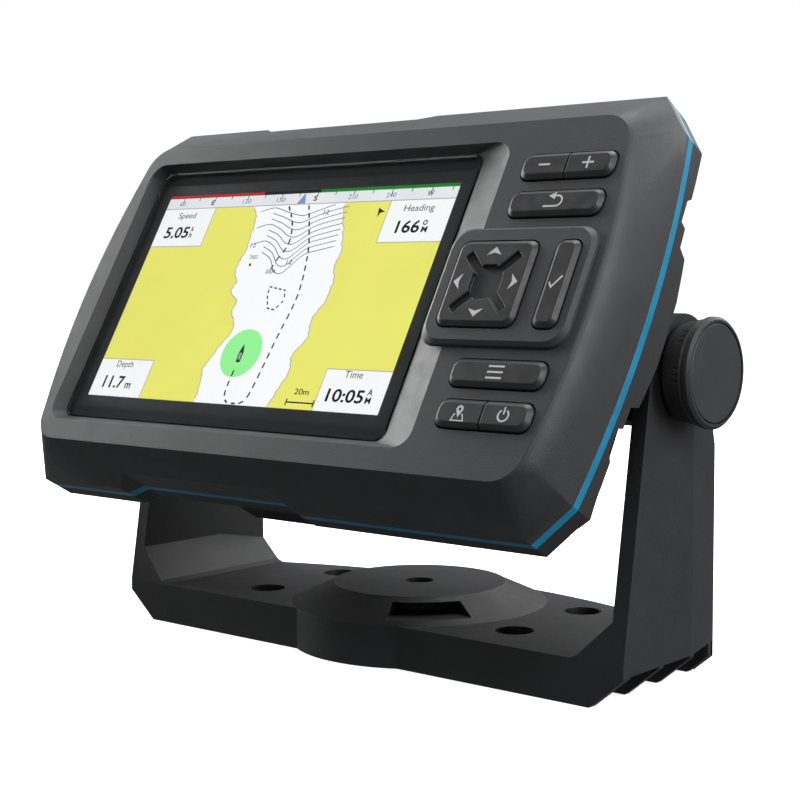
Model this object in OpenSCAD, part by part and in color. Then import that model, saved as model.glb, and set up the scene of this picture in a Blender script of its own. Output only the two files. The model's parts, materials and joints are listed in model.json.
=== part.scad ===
// Chartplotter display: a keypad-and-screen unit held by a quick-release cradle in a tilting bail mount.
// Millimetres, +Z up. The origin is the middle of the base's screw holes, on the underside of the base.
// The screen faces -Y and up. Head coordinates: x to the right, y up the face from the middle of
// the case, z out of the screen from the plane of the glass.

/* [Display unit] */
// Width of the case
case_w = 185.5; // [184:0.5:187]
// Height of the case
case_h = 116.8; // [116:0.2:118]
// Depth of the unit behind the glass
case_d = 48; // [47:0.5:50]
// Rise of the front face above the glass
face_rise = 4; // [3.5:0.25:4.5]
// Width of the picture area
screen_w = 108; // [106:0.5:109]
// Height of the picture area
screen_h = 64.8; // [63:0.2:65.4]
// Distance of the picture's centre to the left of the case's centre
screen_left = 13.2; // [12.8:0.1:13.6]
// Distance of the picture's centre below the case's centre
screen_drop = 3.4; // [3:0.1:3.8]
// Tilt of the display back from upright
tilt = 30; // [10:1:50]

/* [Keypad] */
// Width of the wide keys
key_w = 26.4; // [25:0.1:26.6]
// Height of the wide keys
key_h = 7; // [6.5:0.1:7.4]
// Size of the square direction pad
pad_size = 22.6; // [21:0.1:23]
// Width of the tall enter key
enter_w = 6.6; // [6:0.1:7]
// Gap round each key
key_gap = 0.4; // [0.3:0.05:0.5]
// Rise of the keys above the face
key_rise = 1.3; // [1:0.1:1.6]
// Rise of the island under the direction pad
island_rise = 1.8; // [1.4:0.1:2.2]

/* [Bail mount] */
// Height of the tilt axis above the base's underside
pivot_z = 80.2; // [79:0.2:84]
// Distance of the tilt axis in front of the screw pattern's centre
pivot_forward = 5.5; // [4.5:0.25:6.5]
// Clear width between the arms
arm_gap = 169.6; // [169.4:0.1:170]
// Thickness of each arm
arm_t = 4.2; // [4:0.1:4.4]
// Thickness of the base plate
base_t = 11.5; // [11:0.25:12]
// Screw hole spacing across the base
screw_dx = 91; // [88:0.5:94]
// Screw hole spacing from front to back
screw_dy = 31.6; // [30:0.2:32]
// Diameter of the base's screw holes
screw_d = 5.2; // [4.5:0.1:5.6]
// Diameter of the knobs
knob_d = 27.4; // [26:0.2:28]

/* [Hidden] */
$fn = 48;
eps = 0.01;

// Place of the head on its tilt axis
pivot_rise = 1.5;
pivot_depth = 46.6;

// Case: clipped corners, thumb reliefs in the long edges, and the levels of the stacked shells
half_w = case_w/2;
half_h = case_h/2;
clip_x = 7.7;
clip_y = 10.2;
side_bulge = 3.8;
side_steps = 12;
relief_x = -19;
relief_floor = 56;
relief_d = 2.6;
relief_slope = 1.8;
bevel_end = -11.3;
trim_front = -14.5;
trim_back = -16.8;
trim_w = 2;
seal_w = 2;
seal_gap = 0.2;
band_back = -21.5;
rim_t = 4.8;
flange_t = 2.5;

// Front face: its edges measured from the case's centre, and the soft right-hand edge
face_left = -77.7;
face_right = 89.7;
face_top = 43.1;
face_bottom = -51.4;
face_r = 8;
face_t = 3;
edge_steps = 9;
edge_drop = 12;

// Glass and the recess round it
screen_x = -screen_left;
screen_y = -screen_drop;
glass_l = 60;
glass_r = 58.5;
glass_up = 40.1;
glass_dn = 39.1;
glass_corner = 3;
glass_top = 0.3;
glass_t = 1.1;
glass_gap = 0.25;
rim_left = 1.5;
rim_right = 11.5;
rim_up = 0.7;
rim_down = 3;
rim_corner = 5;
gasket_t = 0.4;
ledge_t = 1.6;
surround = 3.2;

// Screen stack behind the glass
panel_edge = 3;
panel_t = 1.9;
light_t = 3.1;
tray_wall = 1;
tray_t = 1.1;
stack_gap = 0.1;
tab_reach = 5;
tray_tab = 8;

// Keypad: rows are placed up and down from the picture's centre line
keys_x = 75.6;
row_near = 22.3;
row_far = 32.6;
pad_x = 65.3;
enter_x = 84.9;
key_corner = 2.6;
key_chamfer = 1.1;
key_split = 0.5;
key_lip = 0.9;
key_foot = -0.4;
lip_t = 1.1;
raised_foot = 0.9;
island_left = 45.9;
island_right = 91.4;
island_h = 31;
island_bevel = 0.9;
island_left_bevel = 5.2;
island_r = 5;
island_base = 1;
pocket_top = 3.5;
pad_groove = 2.3;
pad_groove_len = 21;
pad_groove_d = 1.2;
pad_centre = 9;
post_r = 1.2;
mat_x0 = 52;
mat_x1 = 87.5;
mat_half = 41.5;
mat_top = -1.4;
mat_t = 1.2;
bay_x1 = 90.2;
bay_gap = 0.5;
bay_back = -6;
tray_boss_r = 2.6;
ball_r = 2;
ball_z = 2;
plunger_h = 0.8;
keypad_pcb_front = -4.4;
keypad_pcb_t = 1.2;
switch_h = 0.8;
switch_r = 2.5;

// Rear housing: half sizes of its body, and the chamfers towards its back
body_x = 79;
body_y = 44.9;
back_flat_y = 17;
back_shoulder_y = 38.6;
back_shoulder_z = -44.4;
side_shoulder_z = -38.5;
back_edge_x = 73;
back_edge_z = -42;
wall = 2.6;
skirt_t = 2.6;
skirt_cut_t = 3.2;
skirt_from = 80;
ear_r = 11;
ear_clear = 0.5;
ear_recess_in = 71.6;

// Screws that join the two shells
shell_screws = [for (s = [-1, 1]) each [[-84, 46*s], [84, 46*s], [-62, 51*s], [30, 51*s]]];
boss_r = 3.2;
thread_r = 1.5;
head_r = 2.7;
head_t = 1.8;
boss_front = -8;

// Main board and what is on it
board_x = 67;
board_y = 39;
board_front = -38;
board_t = 1.6;
board_posts = [for (x = [-62, 62], y = [-35, 35]) [x, y]];
post_boss_r = 3;
ribbon_t = 0.4;
connector_h = 3.2;

// Sockets at the back
power_x = -17;
sonar_x = 17;
socket_y = -20;
socket_out = -57;
socket_r = 9;
socket_bore_r = 6.5;
socket_floor = -46;
socket_flange = -42.9;
socket_inner_r = 10;
contact_r = 0.8;
contact_ring = 3.2;

// Cradle and its release latch
plate_front = -48.8;
plate_back = -52;
cheek_in = 79.5;
cheek_out = 83;
boss_in = 72.2;
hub_r = 9.6;
plate_x = 62;
plate_y = 40;
wing_y = 13;
window_x = 54;
window_lo = -34;
window_hi = 20;
ledge_top = -45.3;
ledge_bottom = -48.4;
ledge_front = -38;
ledge_x = 40;
latch_x = 14;
latch_y = 47.4;
latch_z = -49.4;
latch_front = -35;
latch_under = 45.5;
latch_over = 47.9;
hook_drop = 1.6;
hook_z = -37.4;
lug_x = 14.6;
lug_t = 3;
pin_r = 1.25;
run_clear = 0.05;

// Knobs, studs, inserts and washers, measured along the tilt axis
stud_r = 3;
insert_in = 74.4;
insert_out = 82.4;
insert_r = 4.6;
stud_in = 75.5;
stud_out = 95.5;
washer_gap = 0.05;
washer_t = 0.6;
washer_r = 9;
inner_washer_t = 1.4;
knob_out = 98.5;
knob_base_r = 12.2;
knob_rim = 2.2;
knob_cap_r = 12.1;
knob_cap_t = 0.9;
grip_groups = 8;
grip_r = 0.45;

// Bail: the end arc of each arm, the base's outline and the raised disc
arm_in = arm_gap/2;
arm_out = arm_in + arm_t;
arm_top_r = 14.4;
arm_hole_r = stud_r + 0.3;
arm_rear_top = 60;
arm_bend_y = 0;
arm_rear_x = 84.5;
arm_rear_t = 2.6;
base_front = -31.5;
base_rear = 18.5;
rear_arc_r = 185;
rear_arc_y = 33;
disc_foot_r = 36.5;
disc_r = 24.8;
disc_z = 17;
foot_x = 79.2;
foot_z = 8.1;
root_z = 21.4;
root_x = 75.5;
skin_t = 3;
rib_t = 2.2;
rib_pitch = 15;
screw_boss_r = 8;
sink_r = 5.1;
sink_depth = 5.5;
centre_r = 2.75;
centre_sink_r = 4;
window_angle = -46;
window_span = 40;
window_floor = 12.6;
window_roof = 15.9;
window_hub_r = 20;

pivot_y = -pivot_forward;
key_top = face_rise + key_rise;
raised_top = face_rise + island_rise + key_rise - 0.2;

// Turns head coordinates into the part's own frame.
module on_head() {
    translate([0, pivot_y, pivot_z])
        rotate([90 - tilt, 0, 0])
            translate([0, -pivot_rise, pivot_depth])
                children();
}

// A box between two levels of head z, from a flat shape.
module level(z0, z1) {
    translate([0, 0, min(z0, z1)])
        linear_extrude(abs(z1 - z0))
            children();
}

// A rectangle with true round corners, given by its edges.
module round_rect(x0, x1, y0, y1, r) {
    translate([x0 + r, y0])
        square([x1 - x0 - 2*r, y1 - y0]);
    translate([x0, y0 + r])
        square([x1 - x0, y1 - y0 - 2*r]);
    for (x = [x0 + r, x1 - r], y = [y0 + r, y1 - r])
        translate([x, y])
            circle(r, $fn = 32);
}

// A rectangle with round corners about a centre.
module centred_rect(x, y, w, h, r) {
    round_rect(x - w/2, x + w/2, y - h/2, y + h/2, r);
}

// A cylinder along X between two stations.
module x_rod(r, x0, x1) {
    translate([x0, 0, 0])
        rotate([0, 90, 0])
            cylinder(h = x1 - x0, r = r);
}

// A cylinder along X on the tilt axis, from x0 to x1 outwards on one side.
module pivot_rod(side, r, x0, x1) {
    mirror([side < 0 ? 1 : 0, 0, 0])
        x_rod(r, x0, x1);
}

module on_pivot() {
    translate([0, pivot_y, pivot_z])
        children();
}

// ---------------------------------------------------------------- case outline

// Share of the corner clip left when the outline moves in by t.
function clip_share(t) =
    let (l = norm([clip_x, clip_y]), d = clip_x*clip_y/l)
    (d + t - t*(clip_x + clip_y)/l)/d;

// Points up a bowed side that stands at x from y0 to y1.
function bowed(x, y0, y1) =
    [for (i = [0 : side_steps])
        let (t = 2*i/side_steps - 1)
        [x + side_bulge*(1 - t*t), (y0 + y1)/2 + t*(y1 - y0)/2]];

// The case's outline, moved in by inset: clipped corners and slightly bowed ends.
module octagon(inset) {
    w = half_w - inset;
    h = half_h - inset;
    cx = clip_x*clip_share(inset);
    cy = clip_y*clip_share(inset);
    side = bowed(w, cy - h, h - cy);
    polygon(concat([[w - cx, -h]], side, [[w - cx, h], [cx - w, h]], [for (p = side) -p], [[cx - w, -h]]));
}

// The shallow thumb relief in the long edge on one side, for an outline moved in by inset.
module relief(side, inset) {
    reach = relief_d + inset + 1;
    half = relief_floor/2 + inset/4;
    y0 = half_h - relief_d - inset;
    polygon([for (p = [[-half, 0], [half, 0], [half + relief_slope*reach, reach],
                       [-half - relief_slope*reach, reach]])
             [relief_x + p.x, side*(y0 + p.y)]]);
}

module case_section(inset) {
    difference() {
        octagon(inset);
        relief(1, inset);
        relief(-1, inset);
    }
}

module case_ring(outer, inner) {
    difference() {
        case_section(outer);
        case_section(inner);
    }
}

// ---------------------------------------------------------------- front bezel

// The rectangle of the glass, grown by g on every side.
module glass_rect(g) {
    round_rect(screen_x - glass_l - g, screen_x + glass_r + g,
               screen_y - glass_dn - g, screen_y + glass_up + g, glass_corner + g);
}

// One half of the front face, from the middle to its bowed end at x on the given side.
module bowed_face(x, inset, side) {
    mirror([side < 0 ? 1 : 0, 0, 0]) {
        round_rect(0, x, face_bottom + inset, face_top - inset, face_r);
        polygon(concat([[0, 0]], bowed(x, face_bottom + inset + face_r, face_top - inset - face_r)));
    }
}

// The solid outer form: flat face, bevels, soft right-hand edge and clipped band.
module bezel_form(inset, top_z, back_z) {
    hull() {
        level(top_z - eps, top_z)
            bowed_face(-face_left - inset, inset, -1);
        for (i = [0 : edge_steps])
            let (a = 90*i/edge_steps,
                 x = face_right - inset + (half_w - face_right)*sin(a),
                 z = top_z - edge_drop*(1 - cos(a)))
            level(z - eps, z)
                bowed_face(x, inset, 1);
        level(bevel_end, back_z)
            octagon(inset);
    }
}

// The raised island that carries the direction pad and the enter key.
module island_form() {
    top = face_rise + island_rise;
    y0 = screen_y - island_h/2;
    y1 = screen_y + island_h/2;
    hull() {
        level(island_base - 1, island_base)
            round_rect(island_left, island_right + 0.2, y0 - 1.2, y1 + 1.2, island_r);
        level(top - island_bevel, top - island_bevel + eps)
            round_rect(island_left + island_left_bevel - 1.1, island_right, y0, y1, island_r);
        level(top - eps, top)
            round_rect(island_left + island_left_bevel, island_right - island_bevel,
                       y0 + island_bevel, y1 - island_bevel, island_r);
    }
}

// Centres of the five wide keys' openings, from the top down.
wide_rows = [row_far, row_near, -row_near, -row_far];

module key_openings(g) {
    for (row = wide_rows)
        centred_rect(keys_x, screen_y + row, key_w + 2*g, key_h + 2*g, key_corner + g);
}

module raised_openings(g) {
    centred_rect(pad_x, screen_y, pad_size + 2*g, pad_size + 2*g, key_corner + g);
    centred_rect(enter_x, screen_y, enter_w + 2*g, pad_size + 2*g, key_corner - 0.4 + g);
}

module display_recess() {
    g = glass_gap;
    hull() {
        level(0, eps)
            glass_rect(g);
        level(face_rise, face_rise + eps)
            round_rect(screen_x - glass_l - rim_left, screen_x + glass_r + rim_right,
                       screen_y - glass_dn - rim_down, screen_y + glass_up + rim_up, rim_corner);
    }
}

module panel_rect(g) {
    centred_rect(screen_x, screen_y, screen_w + 2*panel_edge + 2*g, screen_h + 2*panel_edge + 2*g, 1);
}

module front_bezel() {
    ledge_front = glass_top - glass_t - gasket_t;
    color("#26272a")
        on_head() {
            difference() {
                union() {
                    difference() {
                        bezel_form(0, face_rise, trim_front);
                        difference() {
                            bezel_form(rim_t, face_rise - face_t, trim_front - 1);
                            level(ledge_front - ledge_t, face_rise)
                                glass_rect(surround);
                        }
                    }
                    island_form();
                }
                display_recess();
                level(ledge_front, face_rise)
                    glass_rect(glass_gap);
                level(ledge_front - ledge_t - 1, face_rise)
                    panel_rect(0.3);
                level(-1, face_rise + 2)
                    key_openings(key_gap);
                level(-1, face_rise + island_rise + 1)
                    raised_openings(key_gap);
                level(-1, pocket_top)
                    raised_openings(key_lip + key_gap);
                level(bay_back, face_rise - face_t)
                    round_rect(mat_x0 - bay_gap, bay_x1, screen_y - mat_half - bay_gap,
                               screen_y + mat_half + bay_gap, 3);
                for (p = shell_screws)
                    translate([p.x, p.y, 0])
                        level(trim_front - 1, boss_front - 1.5)
                            circle(thread_r);
                level(bevel_end - 10, face_rise) {
                    relief(1, 0);
                    relief(-1, 0);
                }
            }
            intersection() {
                bezel_form(rim_t/2, face_rise - face_t, trim_front);
                for (p = shell_screws)
                    translate([p.x, p.y, 0])
                        screw_boss(trim_front, boss_front);
            }
            tray_bosses();
        }
}

// A hollow boss between two levels, for a screw that comes from behind.
module screw_boss(z0, z1) {
    difference() {
        level(z0, z1)
            circle(boss_r);
        level(z0 - 1, z1 - 1.5)
            circle(thread_r);
    }
}

// Where the screen's tray is screwed down: left and right of the panel.
tray_points = [for (x = [-1, 1], y = [-1, 1])
               [screen_x + x*(screen_w/2 + panel_edge + tray_wall + tab_reach - 1), screen_y + y*24]];
tray_back = glass_top - glass_t - stack_gap - panel_t - light_t - 2*stack_gap;

module tray_bosses() {
    for (p = tray_points)
        translate([p.x, p.y, 0])
            difference() {
                level(tray_back + 0.1, glass_top - glass_t - gasket_t - 0.2)
                    circle(tray_boss_r);
                level(tray_back - 1, -3)
                    circle(1.1);
            }
}

// ---------------------------------------------------------------- other shells

module trim_band() {
    color("#1583a6")
        on_head()
            level(trim_back, trim_front)
                case_ring(0, trim_w);
}

module housing_seal() {
    color("#151515")
        on_head()
            level(trim_back, trim_front)
                case_ring(trim_w + seal_gap, trim_w + seal_gap + seal_w);
}

// The stepped rear edge of the side walls in head (y, z), closed along the given level.
module skirt_profile(close_z) {
    half = [[48, 0.2], [34.5, -1], [33, -2.7], [27, -3.3], [26.3, -1.2], [21, -1.4], [19.5, 1.6], [8.7, 2.9]];
    n = len(half);
    polygon(concat([for (p = half) [p.x, band_back - p.y]],
                   [for (i = [n - 1 : -1 : 0]) [-half[i].x, band_back - half[i].y]],
                   [[-half[0].x, close_z], [half[0].x, close_z]]));
}

// The outer t of both side walls, where the stepped profile closed at close_z covers them.
module side_walls(t, outside, close_z) {
    intersection() {
        level(min(close_z, -case_d), trim_back - 0.3)
            difference() {
                octagon(-outside);
                octagon(t);
            }
        for (side = [0, 1])
            mirror([side, 0, 0])
                along_x(skirt_from, half_w + side_bulge + 2)
                    skirt_profile(close_z);
    }
}

// A shape drawn in head (y, z), extruded along x.
module along_x(x0, x1) {
    translate([x0, 0, 0])
        rotate([90, 0, 90])
            linear_extrude(x1 - x0)
                children();
}

// The body behind the band, shrunk by w on all sides.
module body_form(w) {
    intersection() {
        along_x(w - body_x, body_x - w)
            polygon([for (s = [1, -1], p = (s > 0
                ? [[body_y - w, trim_back - 1], [body_y - w, side_shoulder_z],
                   [back_shoulder_y - w/2, back_shoulder_z + w], [back_flat_y, w - case_d]]
                : [[back_flat_y, w - case_d], [back_shoulder_y - w/2, back_shoulder_z + w],
                   [body_y - w, side_shoulder_z], [body_y - w, trim_back - 1]]))
                [s*p.x, p.y]]);
        translate([0, half_h, 0])
            rotate([90, 0, 0])
                linear_extrude(case_h)
                    polygon([[body_x - w, trim_back], [body_x - w, back_edge_z + w/2],
                             [back_edge_x - w/2, w - case_d], [w/2 - back_edge_x, w - case_d],
                             [w - body_x, back_edge_z + w/2], [w - body_x, trim_back]]);
    }
}

// Space at each end of the tilt axis, in head coordinates.
module ear_space(r, x0) {
    for (side = [-1, 1])
        translate([0, pivot_rise, -pivot_depth])
            pivot_rod(side, r, x0, body_x + 1);
}

module rear_housing() {
    color("#1e1f21")
        on_head()
            difference() {
                union() {
                    difference() {
                        union() {
                            level(band_back, trim_back)
                                case_section(0);
                            body_form(0);
                        }
                        difference() {
                            union() {
                                body_form(wall);
                                level(band_back + flange_t, trim_back + 1)
                                    octagon(rim_t);
                            }
                            ear_space(ear_r + ear_clear + wall, ear_recess_in - wall);
                        }
                    }
                    side_walls(skirt_t, 0, trim_back - 0.3);
                    for (p = shell_screws)
                        translate([p.x, p.y, 0])
                            level(band_back, trim_back)
                                circle(boss_r + 0.6);
                    for (p = board_posts)
                        translate([p.x, p.y, 0])
                            level(wall/2 - case_d + 3, board_front - board_t)
                                circle(post_boss_r);
                    for (x = [power_x, sonar_x])
                        translate([x, socket_y, 0])
                            level(wall/2 - case_d, socket_floor + 2)
                                circle(socket_inner_r + 1.5);
                }
                side_walls(skirt_cut_t, 1, -case_d - 1);
                ear_space(ear_r + ear_clear, ear_recess_in);
                for (p = shell_screws)
                    translate([p.x, p.y, 0]) {
                        level(band_back - 1, trim_back + 1)
                            circle(thread_r + 0.2);
                        level(band_back - 1, band_back + head_t + 0.2)
                            circle(head_r + 0.3);
                    }
                for (p = board_posts)
                    translate([p.x, p.y, 0])
                        level(board_front - board_t - 6, board_front)
                            circle(1.1);
                for (x = [power_x, sonar_x])
                    translate([x, socket_y, 0])
                        level(-case_d - 1, socket_flange + 1)
                            circle(socket_r + 0.3);
                translate([45, 24, 0])
                    level(-case_d - 1, -case_d + 6)
                        circle(3.2);
                translate([-latch_x - 1, body_y - hook_drop - 0.4, hook_z - 1])
                    cube([2*latch_x + 2, hook_drop + 2, latch_front - hook_z + 2]);
            }
}

// ---------------------------------------------------------------- screen

module front_glass() {
    color("#101214", 0.5)
        on_head()
            level(glass_top - glass_t, glass_top)
                glass_rect(0);
}

module glass_gasket() {
    color("#0c0c0c")
        on_head()
            level(glass_top - glass_t - gasket_t, glass_top - glass_t)
                difference() {
                    glass_rect(-0.1);
                    panel_rect(0.4);
                }
}

panel_front = glass_top - glass_t - stack_gap;

module lcd_panel() {
    color("#d8dcc8")
        on_head()
            level(panel_front - panel_t, panel_front)
                panel_rect(0);
}

module backlight_unit() {
    color("#e8e8e4")
        on_head()
            level(panel_front - panel_t - stack_gap - light_t, panel_front - panel_t - stack_gap)
                panel_rect(0);
}

module display_tray() {
    rim_front = glass_top - glass_t - gasket_t - ledge_t - 0.3;
    color("#9ea1a4")
        on_head()
            difference() {
                union() {
                    difference() {
                        level(tray_back - tray_t, rim_front)
                            panel_rect(tray_wall + 0.2);
                        level(tray_back, rim_front + 1)
                            panel_rect(0.2);
                    }
                    for (p = tray_points)
                        level(tray_back - tray_t, tray_back)
                            centred_rect(p.x - sign(p.x - screen_x)*2, p.y, tray_tab + 2, tray_tab, 2);
                }
                for (p = tray_points)
                    translate([p.x, p.y, 0])
                        level(tray_back - tray_t - 1, tray_back + 1)
                            circle(1.4);
                translate([screen_x, screen_y - 27, 0])
                    level(tray_back - tray_t - 1, tray_back + 0.5)
                        square([28, 2], center = true);
            }
}

// A screw that points along +z: a head under its seat and a plain shank.
module cap_screw(r, shank, head, head_h) {
    translate([0, 0, -head_h])
        cylinder(h = head_h, r = head);
    translate([0, 0, -eps])
        cylinder(h = shank, r = r);
}

module display_screws() {
    color("#b9bcc0")
        on_head()
            for (p = tray_points)
                translate([p.x, p.y, tray_back - tray_t])
                    cap_screw(1.05, 4.2, 2.1, 1.2);
}

// ---------------------------------------------------------------- keypad

// Centres of the presses under the keypad: wide keys in halves or whole, the enter key and the pad.
half_key = key_w/4 + key_split/4;
press_points = [for (p = [[keys_x - half_key, row_far], [keys_x + half_key, row_far], [keys_x, row_near],
                          [keys_x, -row_near], [keys_x - half_key, -row_far],
                          [keys_x + half_key, -row_far], [enter_x, 0], [pad_x - 8, 0], [pad_x + 8, 0],
                          [pad_x, 8], [pad_x, -8]])
                [p.x, screen_y + p.y]];

module keymat() {
    color("#303236")
        on_head() {
            level(mat_top - mat_t, mat_top)
                round_rect(mat_x0, mat_x1, screen_y - mat_half, screen_y + mat_half, 3);
            for (p = press_points)
                translate([p.x, p.y, mat_top - mat_t - plunger_h])
                    cylinder(h = plunger_h + 0.2, r = switch_r - 0.4);
        }
}

module keypad_board() {
    color("#1f5a34")
        on_head()
            level(keypad_pcb_front - keypad_pcb_t, keypad_pcb_front)
                round_rect(mat_x0, mat_x1, screen_y - mat_half, screen_y + mat_half, 2);
}

module keypad_switches() {
    color("#c9cbce")
        on_head()
            for (p = press_points)
                translate([p.x, p.y, keypad_pcb_front])
                    cylinder(h = switch_h, r = switch_r);
}

// One bevelled key: a foot with a lip that can't pass the opening, and a cap above it.
module key_form(x, y, w, h, r, foot, top) {
    level(foot, foot + lip_t)
        centred_rect(x, y, w + 2*key_lip, h + 2*key_lip, r);
    hull() {
        level(foot + lip_t - 0.2, top - 0.9)
            centred_rect(x, y, w, h, r);
        level(top - eps, top)
            centred_rect(x, y, w - 2*key_chamfer, h - 2*key_chamfer, r - key_chamfer + 0.3);
    }
}

module wide_key(row) {
    color("#2b2c2f")
        on_head()
            key_form(keys_x, screen_y + row, key_w, key_h, key_corner, key_foot, key_top);
}

// The left or right half of a wide key.
module half_wide_key(row, side) {
    color("#2b2c2f")
        on_head()
            intersection() {
                key_form(keys_x, screen_y + row, key_w, key_h, key_corner, key_foot, key_top);
                translate([keys_x + (side > 0 ? key_split/2 : -key_w), screen_y + row - key_h, key_foot - 1])
                    cube([key_w - (side > 0 ? 0 : key_split/2), 2*key_h, key_top - key_foot + 2]);
            }
}

module zoom_out_key() {
    half_wide_key(row_far, -1);
}

module zoom_in_key() {
    half_wide_key(row_far, 1);
}

module back_key() {
    wide_key(row_near);
}

module menu_key() {
    wide_key(-row_near);
}

module waypoint_key() {
    half_wide_key(-row_far, -1);
}

module power_key() {
    half_wide_key(-row_far, 1);
}

module enter_key() {
    color("#2b2c2f")
        on_head()
            key_form(enter_x, screen_y, enter_w, pad_size, key_corner - 0.4, raised_foot, raised_top);
}

// The ball-ended centre post that the direction pad rocks on.
module pad_post() {
    color("#8c8f92")
        on_head() {
            translate([pad_x, screen_y, mat_top + 0.2])
                cylinder(h = ball_z - mat_top - 0.2, r = post_r);
            translate([pad_x, screen_y, ball_z])
                sphere(ball_r);
        }
}

module direction_pad() {
    color("#2b2c2f")
        on_head()
            difference() {
                key_form(pad_x, screen_y, pad_size, pad_size, key_corner, raised_foot, raised_top);
                translate([pad_x, screen_y, ball_z])
                    sphere(ball_r + run_clear);
                translate([pad_x, screen_y, 0])
                    level(raised_top - pad_groove_d, raised_top + 1) {
                        for (a = [45, -45])
                            rotate(a)
                                centred_rect(0, 0, pad_groove_len, pad_groove, 0.5);
                        rotate(22.5)
                            circle(r = pad_centre/2/cos(22.5), $fn = 8);
                    }
            }
}

// ---------------------------------------------------------------- electronics

module main_board() {
    color("#1f5a34")
        on_head()
            difference() {
                level(board_front - board_t, board_front)
                    round_rect(-board_x, board_x, -board_y, board_y, 2);
                for (p = board_posts)
                    translate([p.x, p.y, 0])
                        level(board_front - board_t - 1, board_front + 1)
                            circle(1.6);
            }
}

module board_screws() {
    color("#b9bcc0")
        on_head()
            for (p = board_posts)
                translate([p.x, p.y, board_front])
                    mirror([0, 0, 1])
                        cap_screw(1.05, 6, 2.4, 1.4);
}

module processor_shield() {
    color("#b4b7ba")
        on_head()
            level(board_front, board_front + 3.6)
                round_rect(-22, 18, -6, 26, 1.5);
}

module sonar_transformer() {
    color("#6b5a2c")
        on_head()
            level(board_front, board_front + 13)
                round_rect(30, 50, -26, -8, 2);
}

module beeper() {
    color("#101010")
        on_head()
            difference() {
                translate([-48, -12, board_front])
                    cylinder(h = 7, r = 6.5);
                translate([-48, -12, board_front + 5])
                    cylinder(h = 3, r = 1.2);
            }
}

module gps_antenna() {
    color("#c8bfa8")
        on_head()
            level(board_front, board_front + 5)
                round_rect(28, 53, 8, 33, 1);
}

// A thin strip that follows points of a path, drawn flat.
module strip(path) {
    n = len(path);
    polygon(concat([for (p = path) [p.x - ribbon_t/2, p.y]],
                   [for (i = [n - 1 : -1 : 0]) [path[i].x + ribbon_t/2, path[i].y]]));
}

module display_ribbon() {
    y0 = screen_y - 27;
    color("#b8742a")
        on_head()
            along_x(screen_x - 12, screen_x + 12)
                strip([[y0, tray_back + 0.05], [y0, -14], [y0 + 4, -22], [y0 + 4, board_front + connector_h]]);
}

module keypad_ribbon() {
    color("#b8742a")
        on_head()
            translate([0, -20, 0])
                rotate([90, 0, 0])
                    linear_extrude(12)
                        strip([[74, keypad_pcb_front - keypad_pcb_t], [74, -14], [60, -26],
                               [60, board_front + connector_h]]);
}

module board_connectors() {
    color("#d9d5c4")
        on_head() {
            level(board_front, board_front + connector_h)
                centred_rect(screen_x, screen_y - 23, 28, 4, 0.5);
            level(board_front, board_front + connector_h)
                centred_rect(60, -25.5, 4, 13, 0.5);
        }
}

// A round socket: a flange inside the wall, a collar outside it and an open bore.
module socket_form(x) {
    on_head()
        translate([x, socket_y, 0])
            difference() {
                union() {
                    level(socket_out, socket_flange + 1)
                        circle(socket_r);
                    level(socket_flange, board_front - board_t - 0.1)
                        circle(socket_inner_r);
                }
                level(socket_out - 1, socket_floor)
                    circle(socket_bore_r);
                for (a = [0 : 90 : 359])
                    rotate(a + 45)
                        translate([contact_ring, 0, 0])
                            level(socket_floor - 1, socket_floor + 4)
                                circle(contact_r + 0.02);
            }
}

module power_socket() {
    color("#17181a")
        socket_form(power_x);
}

module sonar_socket() {
    color("#17181a")
        socket_form(sonar_x);
}

module socket_contacts() {
    color("#d4af37")
        on_head()
            for (x = [power_x, sonar_x], a = [0 : 90 : 359])
                translate([x, socket_y, socket_floor])
                    rotate(a + 45)
                        translate([contact_ring, 0, 0])
                            cylinder(h = 3.9, r = contact_r);
}

module socket_seals() {
    color("#0e0e0e")
        on_head()
            for (x = [power_x, sonar_x])
                translate([x, socket_y, -case_d - 0.2])
                    mirror([0, 0, 1])
                        rotate_extrude()
                            translate([socket_r + 0.05, 0])
                                square([1.4, 1.4]);
}

module vent_plug() {
    color("#3a3c3f")
        on_head()
            translate([45, 24, 0]) {
                level(-case_d + 2, -case_d + 6.6)
                    circle(3.1);
                level(-case_d + 6.1, -case_d + 7)
                    circle(4.2);
            }
}

module housing_screws() {
    color("#a8abaf")
        on_head()
            for (p = shell_screws)
                translate([p.x, p.y, band_back + head_t + 0.1])
                    cap_screw(thread_r - 0.02, boss_front - 1.6 - band_back - head_t - 0.1, head_r, head_t);
}

// ---------------------------------------------------------------- cradle

// The flat shape of a cradle cheek in head (y, z): a round ear with a web down to the back plate.
module cheek_shape() {
    translate([pivot_rise, -pivot_depth])
        circle(ear_r);
    polygon([[pivot_rise - wing_y, plate_back], [pivot_rise + wing_y, plate_back],
             [pivot_rise + wing_y, plate_front + 1], [pivot_rise + ear_r, -pivot_depth + 3],
             [pivot_rise - ear_r, -pivot_depth + 3], [pivot_rise - wing_y, plate_front + 1]]);
}

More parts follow.
